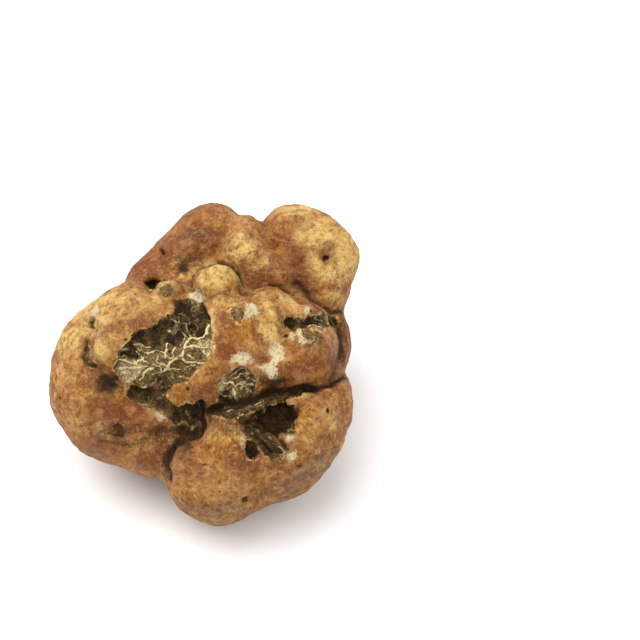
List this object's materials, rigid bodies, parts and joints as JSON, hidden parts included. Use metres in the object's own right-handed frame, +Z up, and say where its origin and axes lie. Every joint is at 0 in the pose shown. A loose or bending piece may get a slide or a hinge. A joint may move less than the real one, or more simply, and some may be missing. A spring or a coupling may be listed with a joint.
{
  "type": "bianchetto truffle",
  "caption": "Lobed, folded truffle with a knobbly ochre skin and torn hollows that bare dark, marbled flesh.",
  "frame": {"origin": "middle of the truffle's footprint box, on the surface that it rests on", "axes": "+Z up, +Y towards the back, away from the viewer, +X to the viewer's right"},
  "size_m": [0.05, 0.0541, 0.0348],
  "materials": {
    "truffle_skin": "matt, slightly waxy natural skin"
  },
  "bodies": {
    "root": {"truffle": "truffle_skin"}
  },
  "joints": []
}
